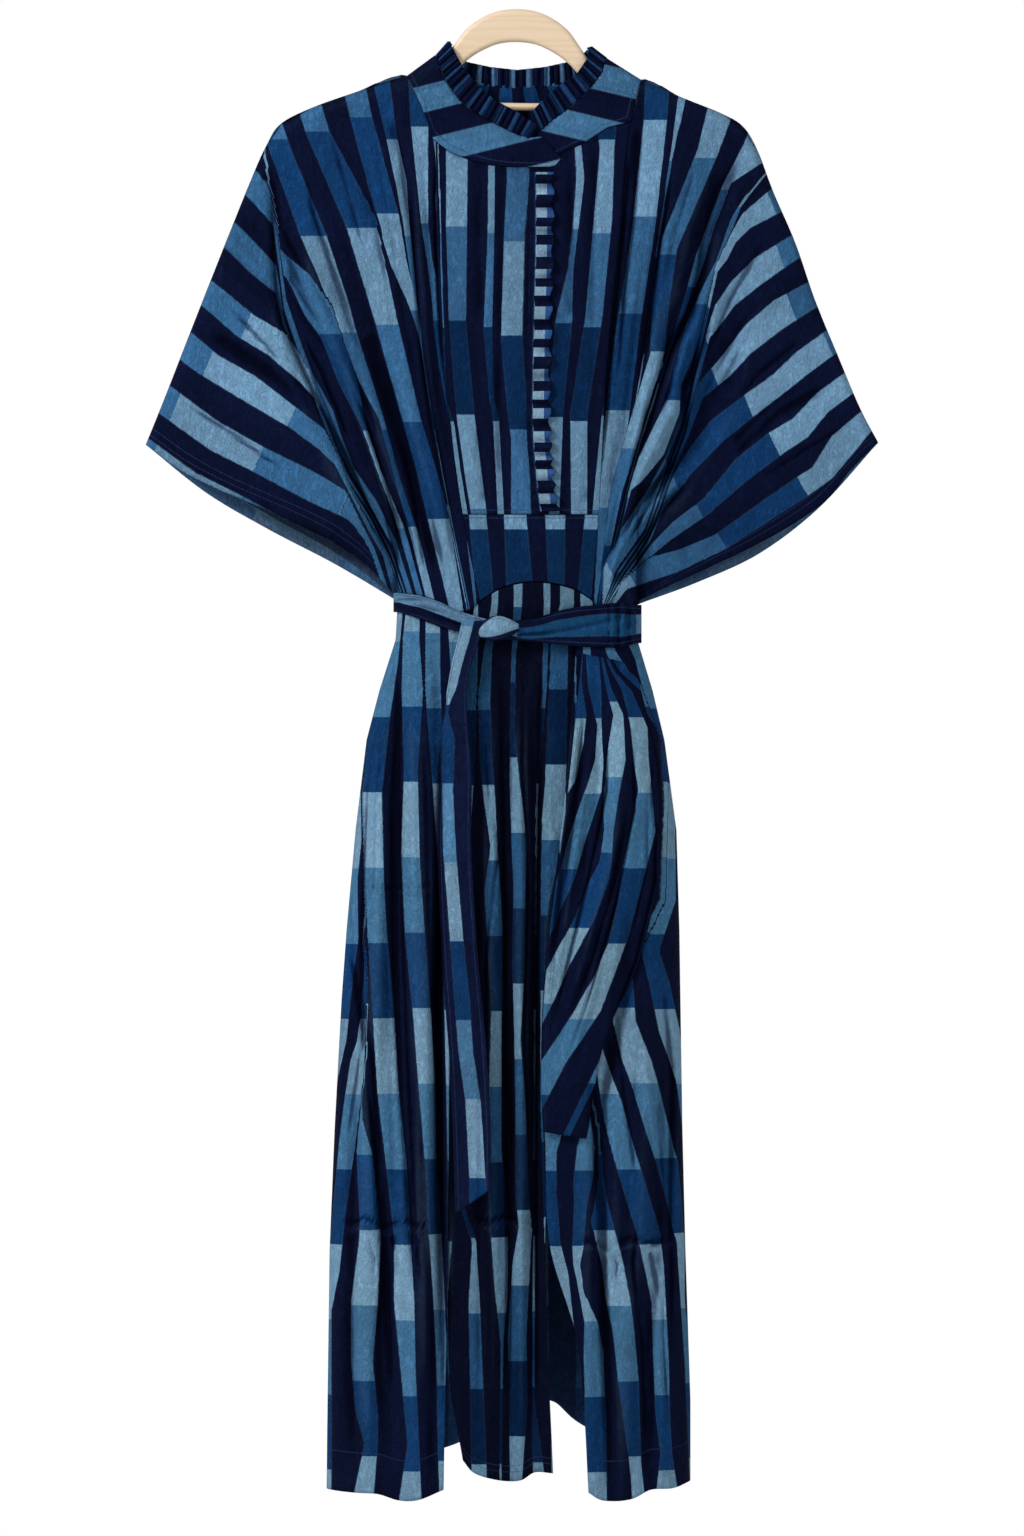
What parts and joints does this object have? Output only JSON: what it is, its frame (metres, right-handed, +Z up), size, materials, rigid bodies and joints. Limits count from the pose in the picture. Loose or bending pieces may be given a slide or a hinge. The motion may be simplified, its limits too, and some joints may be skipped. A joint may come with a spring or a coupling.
{
  "type": "sundress on a hanger",
  "caption": "Loose belted maxi sundress in striped patchwork cotton, with wide sleeves, pleated collar and front slits, hanging on a wooden hanger",
  "frame": {"origin": "the inner crown of the hanger's arch, where what carries the hanger holds it", "axes": "+Z is up, X runs along the hanger to the right as seen from the front, and the front of the dress faces -Y"},
  "size_m": [0.6965, 0.1516, 1.414],
  "materials": {
    "striped_cotton": "matte slubby cotton, navy stripes between stripes of blocks in shades of indigo",
    "dark_cotton": "matte slubby cotton, the darker shades of the same cloth",
    "collar": "matte pleated cotton, mostly navy",
    "frill": "matte waved cotton, navy with small light blocks",
    "belt": "matte cotton, one stripe of blocks and one of navy",
    "pale_wood": "pale smooth wood with a satin finish"
  },
  "bodies": {
    "root": {"collar": "collar", "yoke_front_left": "striped_cotton", "yoke_front_right": "striped_cotton", "yoke_back": "striped_cotton", "bodice_left": "striped_cotton", "bodice_right": "striped_cotton", "placket_frill": "frill", "midriff_band": "dark_cotton", "front_left": "striped_cotton", "front_right": "striped_cotton", "back_body": "striped_cotton", "skirt_front_left": "striped_cotton", "skirt_front_centre": "dark_cotton", "skirt_front_right": "striped_cotton", "skirt_drape": "striped_cotton", "skirt_back": "striped_cotton", "belt": "belt", "belt_knot": "belt", "belt_tail": "belt", "hanger": "pale_wood"}
  },
  "joints": []
}
